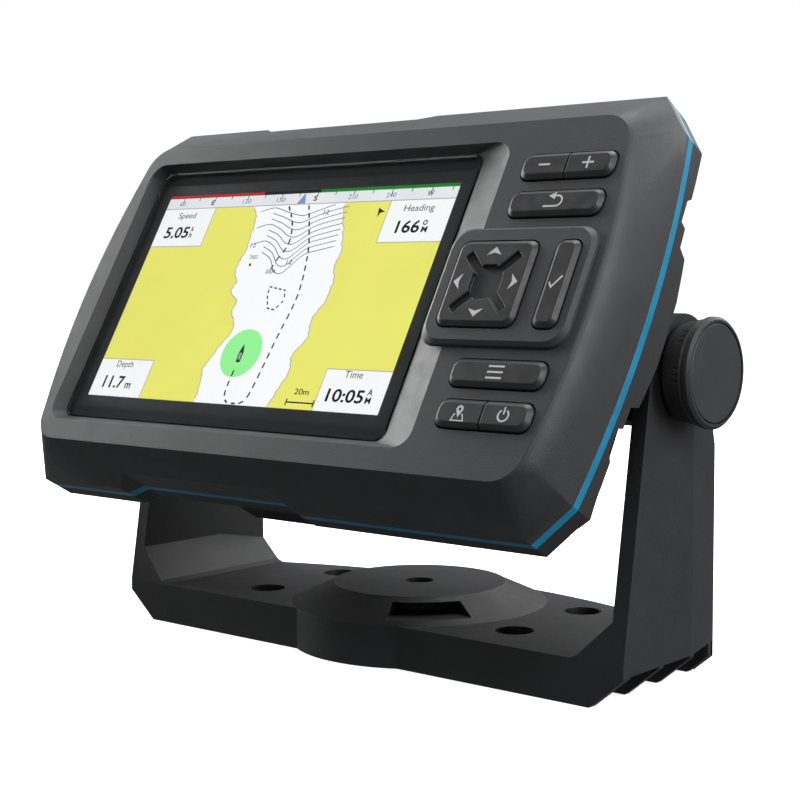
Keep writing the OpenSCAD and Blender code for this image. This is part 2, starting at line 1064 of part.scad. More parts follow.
module cradle() {
    color("#161719")
        on_head()
            difference() {
                union() {
                    level(plate_back, plate_front)
                        difference() {
                            union() {
                                round_rect(-plate_x, plate_x, -plate_y, plate_y, 5);
                                centred_rect(0, pivot_rise, 2*cheek_out, 2*wing_y, 2);
                            }
                            round_rect(-window_x, window_x, window_lo, window_hi, 6);
                        }
                    for (side = [-1, 1]) {
                        along_x(side > 0 ? cheek_in : -cheek_out, side > 0 ? cheek_out : -cheek_in)
                            cheek_shape();
                        translate([0, pivot_rise, -pivot_depth])
                            pivot_rod(side, hub_r, boss_in, cheek_out);
                    }
                    translate([-ledge_x, ledge_bottom, plate_back])
                        cube([2*ledge_x, -plate_y - ledge_bottom, plate_front - plate_back]);
                    translate([-ledge_x, ledge_bottom, plate_back])
                        cube([2*ledge_x, ledge_top - ledge_bottom, ledge_front - plate_back]);
                    for (x = [-lug_x - lug_t, lug_x])
                        translate([x, plate_y - 4, plate_back])
                            cube([lug_t, latch_y + 3.4 - plate_y + 4, latch_z - plate_back + 3]);
                }
                translate([0, pivot_rise, -pivot_depth])
                    x_rod(insert_r, -cheek_out - 1, cheek_out + 1);
                translate([0, latch_y, latch_z])
                    x_rod(pin_r, -lug_x - lug_t - 1, lug_x + lug_t + 1);
            }
}

module latch_lever() {
    color("#232427")
        on_head()
            difference() {
                union() {
                    translate([-latch_x, latch_under, latch_z])
                        cube([2*latch_x, latch_over - latch_under, latch_front - latch_z]);
                    translate([-latch_x, latch_under - hook_drop, hook_z])
                        cube([2*latch_x, hook_drop + eps, latch_front - hook_z]);
                    translate([0, latch_y, latch_z])
                        x_rod(2.5, -latch_x, latch_x);
                    translate([-latch_x, latch_y, latch_z - 2])
                        cube([2*latch_x, 8.5, 2.4]);
                }
                translate([0, latch_y, latch_z]) {
                    x_rod(pin_r + run_clear, -latch_x - 1, latch_x + 1);
                    x_rod(3.2, -3, 3);
                }
            }
}

module latch_pin() {
    color("#c4c7ca")
        on_head()
            translate([0, latch_y, latch_z])
                x_rod(pin_r, -lug_x - lug_t, lug_x + lug_t);
}

// A torsion spring on the pin, drawn as its turns.
module latch_spring() {
    turns = 5;
    wire = 0.4;
    color("#9fa3a7")
        on_head()
            for (i = [0 : turns - 1])
                translate([(i - (turns - 1)/2)*1.05, latch_y, latch_z])
                    rotate([0, 90, 0])
                        rotate_extrude()
                            translate([2, 0])
                                circle(wire, $fn = 16);
}

module pivot_inserts() {
    color("#b9973f")
        on_pivot()
            for (side = [-1, 1])
                difference() {
                    pivot_rod(side, insert_r, insert_in, insert_out);
                    pivot_rod(side, stud_r + run_clear, insert_in - 1, insert_out + 1);
                }
}

module friction_washers() {
    color("#d8d6cf")
        on_pivot()
            for (side = [-1, 1])
                difference() {
                    pivot_rod(side, washer_r, cheek_out + washer_gap, cheek_out + washer_gap + inner_washer_t);
                    pivot_rod(side, stud_r + 0.2, cheek_out - 1, cheek_out + 4);
                }
}

// ---------------------------------------------------------------- knobs

knob_in = arm_out + washer_gap + washer_t;

module knob(side) {
    rim_x = knob_out - knob_rim;
    knob_r = knob_d/2;
    on_pivot()
        mirror([side < 0 ? 1 : 0, 0, 0])
            difference() {
                rotate([0, 90, 0])
                    rotate_extrude($fn = 96)
                        polygon([[0, knob_in], [knob_base_r - 1, knob_in], [knob_base_r, knob_in + 0.8],
                                 [knob_r - 0.5, rim_x - 0.9], [knob_r - 0.9, rim_x - 0.5],
                                 [knob_r - 0.9, rim_x], [knob_r - 0.4, rim_x],
                                 [knob_r, rim_x + 0.4], [knob_r, knob_out - 0.7],
                                 [knob_r - 0.7, knob_out], [0, knob_out]]);
                x_rod(stud_r + 0.02, knob_in - 1, stud_out);
                x_rod(knob_cap_r + 0.3, knob_out - knob_cap_t, knob_out + 1);
                for (i = [0 : grip_groups - 1], j = [-1 : 1])
                    rotate([i*360/grip_groups + j*7, 0, 0])
                        translate([0, 0, knob_r - 0.55])
                            x_rod(grip_r, knob_in + 1.6, rim_x - 1.2);
            }
}

module knob_cap(side) {
    on_pivot()
        pivot_rod(side, knob_cap_r, knob_out - knob_cap_t, knob_out - 0.05);
}

module stud(side) {
    on_pivot()
        pivot_rod(side, stud_r, stud_in, stud_out - 0.05);
}

module outer_washer(side) {
    on_pivot()
        difference() {
            pivot_rod(side, washer_r, arm_out + washer_gap, knob_in);
            pivot_rod(side, stud_r + run_clear, arm_out - 1, knob_in + 1);
        }
}

module left_knob() {
    color("#1d1e20")
        knob(-1);
}

module right_knob() {
    color("#1d1e20")
        knob(1);
}

module left_knob_cap() {
    color("#242528")
        knob_cap(-1);
}

module right_knob_cap() {
    color("#242528")
        knob_cap(1);
}

module left_stud() {
    color("#c4c7ca")
        stud(-1);
}

module right_stud() {
    color("#c4c7ca")
        stud(1);
}

module left_washer() {
    color("#c4c7ca")
        outer_washer(-1);
}

module right_washer() {
    color("#c4c7ca")
        outer_washer(1);
}

// ---------------------------------------------------------------- bail bracket

// Where the tangent from p touches a circle of radius r about c; side picks which one.
function tangent_point(p, c, r, side) =
    let (a = atan2(p.y - c.y, p.x - c.x) + side*acos(r/norm(p - c)))
    c + r*[cos(a), sin(a)];

// The base from above: straight front with a round bulge, ends that follow the arms, an arched rear edge.
module base_outline() {
    polygon([for (s = [1, -1], p = (s > 0
        ? [[arm_out, base_front], [arm_out, arm_bend_y], [arm_rear_x, base_rear]]
        : [[arm_rear_x, base_rear], [arm_out, arm_bend_y], [arm_out, base_front]]))
        [s*p.x, p.y]]);
    circle(disc_foot_r, $fn = 128);
    intersection() {
        translate([0, rear_arc_y - rear_arc_r])
            circle(rear_arc_r, $fn = 256);
        translate([-root_x, 0])
            square([2*root_x, rear_arc_y + 1]);
    }
}

// The base and the roots of the arms from the front.
module base_profile() {
    polygon([for (s = [1, -1], p = (s > 0
        ? [[foot_x, 0], [arm_out, foot_z], [arm_out, root_z + 2], [arm_in, root_z + 2], [arm_in, root_z],
           [root_x, base_t + 0.9], [root_x - 2, base_t]]
        : [[root_x - 2, base_t], [root_x, base_t + 0.9], [arm_in, root_z], [arm_in, root_z + 2],
           [arm_out, root_z + 2], [arm_out, foot_z], [foot_x, 0]]))
        [s*p.x, p.y]]);
}

// The arm's front edge in (Y, Z): where it leaves the base, and where it meets the arc at the top.
arm_front = [base_front, base_t];
arm_front_top = tangent_point(arm_front, [pivot_y, pivot_z], arm_top_r, -1);

// Both arms from the side, in (Y, Z).
module arm_side() {
    axis = [pivot_y, pivot_z];
    rear = [base_rear, arm_rear_top];
    translate(axis)
        circle(arm_top_r, $fn = 128);
    polygon([arm_front, [base_front, foot_z], [base_rear, foot_z], rear,
             tangent_point(rear, axis, arm_top_r, 1), axis, arm_front_top]);
}

// What is cut off the front of the arms' roots, so that they follow the arms' front edge.
module root_front() {
    rise = root_z + 3 - base_t;
    slope = (arm_front_top.x - arm_front.x)/(arm_front_top.y - arm_front.y);
    along_x(-arm_out - 1, arm_out + 1)
        polygon([[base_front - 6, base_t], arm_front, arm_front + [slope*rise, rise],
                 [base_front - 6, base_t + rise]]);
}

// One arm from above: straight, then bent in towards its rear edge.
module arm_plan() {
    polygon([[arm_in, -disc_foot_r], [arm_out, -disc_foot_r], [arm_out, arm_bend_y], [arm_rear_x, base_rear],
             [arm_rear_x - arm_rear_t, base_rear], [arm_in, arm_bend_y + 2]]);
}

module arm(side) {
    mirror([side < 0 ? 1 : 0, 0, 0]) {
        intersection() {
            along_x(arm_in - 6, arm_out + 1)
                arm_side();
            linear_extrude(pivot_z + arm_top_r + 1)
                arm_plan();
            translate([0, -case_h/2, foot_z + 2])
                cube([case_w, case_h, case_h]);
        }
        on_pivot()
            x_rod(arm_top_r, arm_in, arm_out);
    }
}

// Bays under the base between its ribs, open at both ends.
module base_bays() {
    ribs = [for (i = [-1 : 1]) 0.5 + i*rib_pitch];
    edges = concat([base_front + skin_t - rib_t/2], ribs, [base_rear + 0.5]);
    for (i = [0 : len(edges) - 2])
        translate([-arm_out - 1, edges[i] + rib_t/2, -1])
            cube([2*arm_out + 2, edges[i + 1] - edges[i] - rib_t, base_t - skin_t + 1]);
}

module raised_disc() {
    difference() {
        rotate_extrude($fn = 128)
            polygon([[0, base_t - 1], [disc_foot_r, base_t - 1], [disc_foot_r, base_t],
                     [disc_r + 0.4, disc_z - 0.4], [disc_r - 0.2, disc_z], [0, disc_z]]);
        rotate(window_angle)
            difference() {
                translate([0, 0, window_floor])
                    linear_extrude(window_roof - window_floor)
                        polygon([[0, 0], disc_foot_r*1.2*[cos(window_span/2), sin(window_span/2)],
                                 disc_foot_r*1.2*[cos(window_span/2), -sin(window_span/2)]]);
                cylinder(h = disc_z, r = window_hub_r);
            }
    }
}

module bail_bracket() {
    holes = [for (x = [-1, 1], y = [-1, 1]) [x*screw_dx/2, y*screw_dy/2]];
    color("#202124")
        difference() {
            union() {
                difference() {
                    intersection() {
                        linear_extrude(root_z + 2)
                            base_outline();
                        translate([0, case_h/2, 0])
                            rotate([90, 0, 0])
                                linear_extrude(case_h)
                                    base_profile();
                    }
                    base_bays();
                    root_front();
                }
                intersection() {
                    for (p = concat(holes, [[0, 0]]))
                        translate(p)
                            cylinder(h = base_t - skin_t + 1, r = screw_boss_r);
                    linear_extrude(base_t)
                        base_outline();
                }
                raised_disc();
                arm(1);
                arm(-1);
            }
            for (p = holes)
                translate([p.x, p.y, 0]) {
                    translate([0, 0, -1])
                        cylinder(h = base_t + 2, r = screw_d/2);
                    translate([0, 0, base_t - sink_depth])
                        cylinder(h = sink_depth + 1, r = sink_r);
                }
            translate([0, 0, -1])
                cylinder(h = disc_z + 2, r = centre_r);
            translate([0, 0, disc_z - 1.3])
                cylinder(h = 2, r = centre_sink_r);
            on_pivot()
                x_rod(arm_hole_r, -arm_out - 1, arm_out + 1);
        }
}

bail_bracket();
cradle();
pivot_inserts();
friction_washers();
latch_lever();
latch_pin();
latch_spring();
front_bezel();
trim_band();
rear_housing();
housing_seal();
front_glass();
glass_gasket();
lcd_panel();
backlight_unit();
display_tray();
display_screws();
keymat();
keypad_board();
keypad_switches();
zoom_out_key();
zoom_in_key();
back_key();
pad_post();
direction_pad();
enter_key();
menu_key();
waypoint_key();
power_key();
main_board();
board_screws();
processor_shield();
sonar_transformer();
beeper();
gps_antenna();
display_ribbon();
keypad_ribbon();
board_connectors();
power_socket();
sonar_socket();
socket_contacts();
socket_seals();
vent_plug();
housing_screws();
left_knob();
left_knob_cap();
left_stud();
left_washer();
right_knob();
right_knob_cap();
right_stud();
right_washer();
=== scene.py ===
import json
import math

import bmesh
import bpy
from mathutils import Matrix, Vector

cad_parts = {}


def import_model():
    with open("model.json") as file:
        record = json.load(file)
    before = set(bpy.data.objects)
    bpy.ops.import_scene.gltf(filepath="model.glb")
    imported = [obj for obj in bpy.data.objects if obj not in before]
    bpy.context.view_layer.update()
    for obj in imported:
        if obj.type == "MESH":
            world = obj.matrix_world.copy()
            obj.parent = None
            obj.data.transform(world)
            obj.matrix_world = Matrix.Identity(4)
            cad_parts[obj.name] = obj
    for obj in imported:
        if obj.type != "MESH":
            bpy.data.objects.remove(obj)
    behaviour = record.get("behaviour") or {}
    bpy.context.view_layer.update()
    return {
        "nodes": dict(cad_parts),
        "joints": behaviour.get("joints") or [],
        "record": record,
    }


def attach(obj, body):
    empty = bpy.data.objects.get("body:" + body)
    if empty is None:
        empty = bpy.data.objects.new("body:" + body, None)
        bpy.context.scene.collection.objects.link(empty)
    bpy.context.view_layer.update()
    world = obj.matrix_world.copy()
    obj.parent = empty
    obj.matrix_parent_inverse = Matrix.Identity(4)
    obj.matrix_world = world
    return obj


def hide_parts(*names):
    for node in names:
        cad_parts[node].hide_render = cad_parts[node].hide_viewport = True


MM = 0.001
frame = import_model()
NODES = frame["nodes"]
SLOTS = {part["node"]: part["material_slot"] for part in frame["record"]["subparts"]}
BODIES = {n: body for body, nodes in frame["record"]["behaviour"]["bodies"].items() for n in nodes}

# Axes of the head: the keys are pressed into the face, against OUT.
PRESS = next(j["axis"] for j in frame["joints"] if j["name"] == "menu_press")
OUT = -Vector(PRESS).normalized()
RIGHT = Vector((1, 0, 0))
UP = OUT.cross(RIGHT)
HEAD = Matrix((RIGHT, UP, OUT)).transposed()


# ------------------------------------------------------------------ places


def span(node, near_top=None):
    """Lowest and highest head coordinates of a CAD node, or of its part within near_top of its front."""
    points = [HEAD.transposed() @ v.co for v in NODES[node].data.vertices]
    top = max(p.z for p in points)
    if near_top is not None:
        points = [p for p in points if p.z > top - near_top]
    low = Vector([min(p[i] for p in points) for i in range(3)])
    high = Vector([max(p[i] for p in points) for i in range(3)])
    return low, high


def new_mesh_object(name, vertices, faces):
    mesh = bpy.data.meshes.new(name)
    mesh.from_pydata([tuple(v) for v in vertices], [], faces)
    mesh.update()
    obj = bpy.data.objects.new(name, mesh)
    bpy.context.scene.collection.objects.link(obj)
    return obj


def settle(obj):
    """Applies the modifiers, so the piece's own mesh is its final shape."""
    bpy.context.view_layer.update()
    graph = bpy.context.evaluated_depsgraph_get()
    mesh = bpy.data.meshes.new_from_object(obj.evaluated_get(graph))
    obj.modifiers.clear()
    obj.data = mesh


# ------------------------------------------------------------------ materials


class Shader:
    """A short way to write one material's node tree."""

    def __init__(self, name, colour, roughness, **sockets):
        self.material = bpy.data.materials.new(name)
        self.material.use_nodes = True
        self.tree = self.material.node_tree
        self.surface = self.tree.nodes["Principled BSDF"]
        self.surface.inputs["Base Color"].default_value = (*colour, 1)
        self.surface.inputs["Roughness"].default_value = roughness
        for socket, value in sockets.items():
            self.surface.inputs[socket.replace("_", " ")].default_value = value
        self.place = self.add("ShaderNodeTexCoord").outputs["Object"]
        self.normal = None

    def add(self, kind, links=(), **settings):
        node = self.tree.nodes.new(kind)
        for key, value in settings.items():
            if hasattr(node, key):
                setattr(node, key, value)
            else:
                node.inputs[key.replace("_", " ")].default_value = value
        for socket, source in dict(links).items():
            self.tree.links.new(source, node.inputs[socket])
        return node

    def noise(self, size, detail=3.0, roughness=0.6, stretch=None):
        """Fractal noise whose features are about size metres across."""
        place = self.place
        if stretch:
            place = self.add("ShaderNodeMapping", {"Vector": place}, Scale=stretch).outputs["Vector"]
        node = self.add("ShaderNodeTexNoise", {"Vector": place}, Scale=1 / size, Detail=detail,
                        Roughness=roughness)
        return node.outputs["Fac"]

    def cells(self, size):
        node = self.add("ShaderNodeTexVoronoi", {"Vector": self.place}, Scale=1 / size)
        return node.outputs["Distance"]

    def ranged(self, value, low, high, to_low, to_high):
        node = self.add("ShaderNodeMapRange", {"Value": value}, clamp=True)
        for socket, number in zip(("From Min", "From Max", "To Min", "To Max"),
                                  (low, high, to_low, to_high)):
            node.inputs[socket].default_value = number
        return node.outputs["Result"]

    def mix(self, share, first, second):
        """Colours first and second, mixed by share."""
        node = self.add("ShaderNodeMix", data_type="RGBA")
        self.tree.links.new(share, node.inputs["Factor"])
        for socket, value in (("A", first), ("B", second)):
            target = [i for i in node.inputs if i.name == socket and i.type == "RGBA"][0]
            if isinstance(value, bpy.types.NodeSocket):
                self.tree.links.new(value, target)
            else:
                target.default_value = (*value, 1)
        return [o for o in node.outputs if o.type == "RGBA"][0]

    def set(self, socket, source):
        self.tree.links.new(source, self.surface.inputs[socket])

    def bump(self, height, strength, depth):
        links = {"Height": height}
        if self.normal is not None:
            links["Normal"] = self.normal
        self.normal = self.add("ShaderNodeBump", links, Strength=strength,
                               Distance=depth).outputs["Normal"]
        self.set("Normal", self.normal)

    def edge_mask(self, radius, start=0.02, full=0.25):
        """1 along sharp edges within radius of them, 0 on flat ground."""
        soft = self.add("ShaderNodeBevel", samples=4, Radius=radius).outputs["Normal"]
        flat = self.add("ShaderNodeNewGeometry").outputs["Normal"]
        dot = self.add("ShaderNodeVectorMath", operation="DOT_PRODUCT")
        self.tree.links.new(soft, dot.inputs[0])
        self.tree.links.new(flat, dot.inputs[1])
        return self.ranged(dot.outputs["Value"], 1 - full, 1 - start, 1, 0)

    def times(self, a, b):
        node = self.add("ShaderNodeMath", operation="MULTIPLY")
        self.tree.links.new(a, node.inputs[0])
        self.tree.links.new(b, node.inputs[1])
        return node.outputs[0]


def scaled(colour, factor):
    return tuple(c * factor for c in colour)


def moulded(name, colour, roughness, grain=0.35 * MM, relief=0.35, wear_and_highlight=0.5, **sockets):
    """Spark-eroded moulded plastic: fine pebble grain, mottling and slightly polished, paler edges, partly
    worn by handling and partly a painted highlight.
    """
    s = Shader(name, colour, roughness, **sockets)
    broad = s.noise(14 * MM, 4)
    fine = s.noise(grain, 2, 0.5)
    base = s.mix(s.ranged(broad, 0.3, 0.7, 0, 1), scaled(colour, 0.86), scaled(colour, 1.12))
    base = s.mix(s.ranged(fine, 0.35, 0.75, 0, 0.35), base, scaled(colour, 1.5))
    # Paler colour along the edges: partly worn by handling, partly a painted highlight.
    rubbed_and_highlit_edges = s.times(s.edge_mask(0.5 * MM), s.ranged(s.noise(3 * MM, 5, 0.7), 0.4, 0.65, 0, wear_and_highlight))
    base = s.mix(rubbed_and_highlit_edges, base, scaled(colour, 2.2))
    s.set("Base Color", base)
    s.set("Roughness", s.ranged(s.noise(5 * MM, 5, 0.65), 0.25, 0.75, roughness - 0.06, roughness + 0.07))
    s.bump(s.cells(grain), relief, grain * 0.25)
    s.bump(fine, relief * 0.7, grain * 0.2)
    return s.material


def rubbery(name, colour, roughness, **sockets):
    """Silicone keys: very fine satin skin with faint finger shine, and paler edges that are partly dusty
    and partly a painted highlight.
    """
    s = Shader(name, colour, roughness, **sockets)
    base = s.mix(s.ranged(s.noise(6 * MM, 4), 0.3, 0.7, 0, 1), scaled(colour, 0.88), scaled(colour, 1.12))
    # Paler colour along the edges: partly dusty, partly a painted highlight.
    dust_and_highlight = s.times(s.edge_mask(0.35 * MM), s.ranged(s.noise(1.5 * MM, 4), 0.35, 0.7, 0, 0.45))
    s.set("Base Color", s.mix(dust_and_highlight, base, scaled(colour, 2.0)))
    s.set("Roughness", s.ranged(s.noise(3 * MM, 4), 0.3, 0.7, roughness - 0.07, roughness + 0.06))
    s.bump(s.noise(0.12 * MM, 2), 0.25, 0.03 * MM)
    return s.material


def satin(name, colour, roughness, **sockets):
    """Smooth coloured plastic with slight waviness."""
    s = Shader(name, colour, roughness, **sockets)
    s.set("Base Color", s.mix(s.ranged(s.noise(8 * MM, 3), 0.3, 0.7, 0, 1),
                              scaled(colour, 0.9), scaled(colour, 1.1)))
    s.set("Roughness", s.ranged(s.noise(2 * MM, 4), 0.3, 0.7, roughness - 0.05, roughness + 0.08))
    s.bump(s.noise(0.6 * MM, 2), 0.12, 0.03 * MM)
    return s.material


def metal(name, colour, roughness, stretch=(1, 1, 1)):
    """Turned or drawn metal with fine tool marks and light tarnish."""
    s = Shader(name, colour, roughness, Metallic=1.0)
    tarnish = s.ranged(s.noise(2.5 * MM, 5, 0.7), 0.35, 0.75, 0, 1)
    s.set("Base Color", s.mix(tarnish, colour, scaled(colour, 0.72)))
    s.set("Roughness", s.ranged(s.noise(1 * MM, 4), 0.3, 0.7, roughness - 0.08, roughness + 0.12))
    s.bump(s.noise(0.25 * MM, 3, 0.6, stretch), 0.2, 0.02 * MM)
    return s.material


def circuit_board(name, colour):
    """Solder mask with copper tracks and pads showing faintly through it."""
    s = Shader(name, colour, 0.35)
    brick = s.add("ShaderNodeTexBrick", {"Vector": s.place}, Scale=260.0, Mortar_Size=0.06)
    tracks = s.ranged(brick.outputs["Fac"], 0.2, 0.8, 0, 0.5)
    base = s.mix(tracks, colour, scaled(colour, 2.1))
    base = s.mix(s.ranged(s.cells(2.3 * MM), 0.1, 0.16, 0.7, 0), base, (0.42, 0.36, 0.2))
    s.set("Base Color", base)
    s.set("Roughness", s.ranged(s.noise(4 * MM), 0.3, 0.7, 0.28, 0.45))
    s.bump(tracks, 0.25, 0.03 * MM)
    return s.material


def cover_glass(name):
    """Clear glass with a slight smear that changes only its roughness."""
    s = Shader(name, (0.93, 0.95, 0.96), 0.02, Transmission_Weight=1.0, IOR=1.5)
    s.set("Roughness", s.ranged(s.noise(9 * MM, 5, 0.7), 0.35, 0.8, 0.0, 0.05))
    return s.material


def glowing(name, colour, strength, spread):
    """Part of the lit picture, with the slight unevenness of a backlight."""
    s = Shader(name, scaled(colour, 0.02), 0.6, Specular_IOR_Level=0.0)
    glow = s.mix(s.ranged(s.noise(22 * MM, 2), 0.3, 0.7, 0, 1), scaled(colour, 1 - spread), colour)
    s.set("Emission Color", glow)
    s.surface.inputs["Emission Strength"].default_value = strength
    return s.material


MATERIALS = {
    "case_front": lambda n: moulded(n, (0.033, 0.034, 0.036), 0.5),
    "case_rear": lambda n: moulded(n, (0.021, 0.0215, 0.023), 0.56),
    "trim_blue": lambda n: satin(n, (0.006, 0.225, 0.40), 0.38),
    "mount_plastic": lambda n: moulded(n, (0.021, 0.0215, 0.023), 0.5, grain=0.45 * MM),
    "cradle_plastic": lambda n: moulded(n, (0.014, 0.0145, 0.016), 0.55),
    "latch_plastic": lambda n: moulded(n, (0.018, 0.0185, 0.02), 0.45),
    "knob_plastic": lambda n: moulded(n, (0.026, 0.0265, 0.028), 0.48),
    "knob_cap": lambda n: moulded(n, (0.034, 0.035, 0.037), 0.42, grain=0.25 * MM),
    "steel": lambda n: metal(n, (0.56, 0.57, 0.58), 0.3),
    "brass": lambda n: metal(n, (0.62, 0.45, 0.2), 0.3),
    "gold_contacts": lambda n: metal(n, (0.85, 0.62, 0.22), 0.22),
    "nylon": lambda n: satin(n, (0.62, 0.6, 0.55), 0.45),
    "seal_rubber": lambda n: rubbery(n, (0.012, 0.012, 0.013), 0.6),
    "keymat_rubber": lambda n: rubbery(n, (0.03, 0.031, 0.033), 0.55),
    "key_rubber": lambda n: rubbery(n, (0.024, 0.0245, 0.026), 0.42),
    "cover_glass": cover_glass,
    "lcd_surface": lambda n: satin(n, (0.02, 0.022, 0.024), 0.3),
    "backlight_plastic": lambda n: satin(n, (0.75, 0.75, 0.72), 0.4),
    "tray_metal": lambda n: metal(n, (0.5, 0.51, 0.52), 0.38, (1, 20, 1)),
    "circuit_board": lambda n: circuit_board(n, (0.012, 0.09, 0.035)),
    "flex_circuit": lambda n: satin(n, (0.35, 0.15, 0.03), 0.35),
    "connector_plastic": lambda n: satin(n, (0.65, 0.62, 0.5), 0.45),
    "component_black": lambda n: satin(n, (0.012, 0.012, 0.013), 0.35),
    "transformer_tape": lambda n: satin(n, (0.45, 0.3, 0.06), 0.3),
    "antenna_ceramic": lambda n: satin(n, (0.55, 0.48, 0.36), 0.6),
    "socket_plastic": lambda n: moulded(n, (0.017, 0.0175, 0.019), 0.42, grain=0.25 * MM),
    "post_plastic": lambda n: satin(n, (0.3, 0.31, 0.32), 0.4),
}
materials = {slot: make(slot) for slot, make in MATERIALS.items()}


def finish_cad_nodes():
    """Every CAD node that stays gets its slot's material."""
    for name, obj in NODES.items():
        obj.data.materials.clear()
        obj.data.materials.append(materials[SLOTS[name]])


# ------------------------------------------------------------------ refined copies of the CAD shells

FACET = math.radians(13)  # the shading stays smooth across edges gentler than this
FLAT = math.radians(0.4)
WELD = 0.002 * MM
ROUNDED_FROM = math.radians(24)  # edges sharper than this are rounded


def merged(node):
    """The CAD node's shape as a bmesh of whole flat faces."""
    bm = bmesh.new()
    bm.from_mesh(NODES[node].data)
    bmesh.ops.remove_doubles(bm, verts=bm.verts, dist=WELD)
    bmesh.ops.dissolve_degenerate(bm, dist=WELD, edges=bm.edges)
    bmesh.ops.dissolve_limit(bm, angle_limit=FLAT, verts=bm.verts, edges=bm.edges,
                             use_dissolve_boundaries=False)
    bmesh.ops.recalc_face_normals(bm, faces=bm.faces)
    return bm


def refine(node, width):
    """A copy of a CAD node with rounded edges, which stands for it."""
    bm = merged(node)
    points = [v.co.copy() for v in bm.verts]
    bm.verts.index_update()
    faces = [[v.index for v in f.verts] for f in bm.faces]
    bm.free()
    obj = new_mesh_object(node + "_skin", points, faces)
    obj.data.shade_smooth()
    obj.data.set_sharp_from_angle(angle=FACET)
    bevel = obj.modifiers.new("edges", "BEVEL")
    bevel.width = width
    bevel.segments = 2
    bevel.limit_method = "ANGLE"
    bevel.angle_limit = ROUNDED_FROM
    bevel.harden_normals = True
    bevel.miter_outer = "MITER_ARC"
    settle(obj)
    obj.data.materials.append(materials[SLOTS[node]])
    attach(obj, BODIES[node])
    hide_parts(node)


# Radius of the rounded edges, in millimetres.
EDGE_WIDTHS = {
    "bail_bracket": 0.5, "cradle": 0.4, "front_bezel": 0.4, "rear_housing": 0.35, "trim_band": 0.12,
    "latch_lever": 0.3, "left_knob": 0.18, "right_knob": 0.18, "left_knob_cap": 0.3, "right_knob_cap": 0.3,
    "zoom_out_key": 0.22, "zoom_in_key": 0.22, "back_key": 0.22, "menu_key": 0.22, "waypoint_key": 0.22,
    "power_key": 0.22, "enter_key": 0.22, "direction_pad": 0.22, "power_socket": 0.3, "sonar_socket": 0.3,
}


# ------------------------------------------------------------------ flat drawing

Z_STEP = 0.016 * MM  # from one colour of the picture to the next
LAYER_SHARE = 0.75  # thickness of a colour as a share of that step
PANEL_GAP = 0.004 * MM
CAP_SHARE = 0.73  # height of a capital as a share of the font's size


def outline_curve(name, outlines, depth):
    """Closed outlines filled by the even-odd rule and thickened by depth."""
    curve = bpy.data.curves.new(name, "CURVE")
    curve.dimensions = "2D"
    curve.fill_mode = "BOTH"
    curve.extrude = depth / 2
    for points in outlines:
        line = curve.splines.new("POLY")
        line.points.add(len(points) - 1)
        for p, (x, y) in zip(line.points, points):
            p.co = (x * MM, y * MM, 0, 1)
        line.use_cyclic_u = True
    return bpy.data.objects.new(name, curve)


def text_curve(name, words, height, depth, bold):
    curve = bpy.data.curves.new(name, "FONT")
    curve.body = words
    curve.size = height * MM / CAP_SHARE
    curve.offset = bold * height * MM
    curve.extrude = depth / 2
    curve.resolution_u = 3
    return bpy.data.objects.new(name, curve)


def fit_text(mesh, height, x0, x1, baseline):
    """Puts flat words on their baseline, stretched to their height and to x0 to x1."""
    xs = [v.co.x for v in mesh.vertices]
    left, right, top = min(xs), max(xs), max(v.co.y for v in mesh.vertices)
    for v in mesh.vertices:
        v.co.x = (x0 + (v.co.x - left) / (right - left) * (x1 - x0)) * MM
        v.co.y = (baseline + v.co.y / top * height) * MM


def draw(name, body, material, centre, height, depth, outlines=(), texts=()):
    """One thin flat piece on the head. centre is its origin across the face, height its underside.

    An outline is a list of points, or a list of outlines where the inner ones are holes.
    """
    sources = [outline_curve(name + "_o%d" % i, [o] if isinstance(o[0][0], (int, float)) else o, depth)
               for i, o in enumerate(outlines)]
    fits = [None] * len(sources) + [t[1:5] for t in texts]
    sources += [text_curve(name + "_t%d" % i, t[0], t[1], depth, t[5] if len(t) > 5 else 0)
                for i, t in enumerate(texts)]
    place = Matrix.Translation(RIGHT * centre[0] + UP * centre[1] + OUT * (height + depth / 2))
    place = place @ HEAD.to_4x4()
    bm = bmesh.new()
    for source, fit in zip(sources, fits):
        bpy.context.scene.collection.objects.link(source)
        bpy.context.view_layer.update()
        graph = bpy.context.evaluated_depsgraph_get()
        mesh = bpy.data.meshes.new_from_object(source.evaluated_get(graph))
        if fit:
            fit_text(mesh, *fit)
        mesh.transform(place @ source.matrix_world)
        bm.from_mesh(mesh)
        bpy.data.meshes.remove(mesh)
        bpy.data.objects.remove(source)
    bmesh.ops.remove_doubles(bm, verts=bm.verts, dist=0.0005 * MM)
    bmesh.ops.recalc_face_normals(bm, faces=bm.faces)
    mesh = bpy.data.meshes.new(name)
    bm.to_mesh(mesh)
    bm.free()
    obj = bpy.data.objects.new(name, mesh)
    bpy.context.scene.collection.objects.link(obj)
    obj.data.materials.append(material)
    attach(obj, body)


def rect(x0, y0, x1, y1):
    return [(x0, y0), (x1, y0), (x1, y1), (x0, y1)]


def arc(x, y, r, start, end, steps=24):
    angles = [math.radians(start + (end - start) * i / steps) for i in range(steps + 1)]
    return [(x + r * math.cos(a), y + r * math.sin(a)) for a in angles]


def circle(x, y, r, steps=48):
    return arc(x, y, r, 0, 360 * (steps - 1) / steps, steps - 1)


def stroke(points, width):
    """The outline of an open line of one width, with mitred corners."""
    sides = ([], [])
    n = len(points)
    for i, (x, y) in enumerate(points):
        before = Vector(points[i]) - Vector(points[i - 1]) if i else Vector(points[1]) - Vector(points[0])
        after = Vector(points[i + 1]) - Vector(points[i]) if i < n - 1 else before
        a, b = before.normalized(), after.normalized()
        along = (a + b).normalized()
        across = Vector((-along.y, along.x))
        reach = width / 2 / max(0.5, across.dot(Vector((-a.y, a.x))))
        sides[0].append((x + across.x * reach, y + across.y * reach))
        sides[1].append((x - across.x * reach, y - across.y * reach))
    return sides[0] + sides[1][::-1]


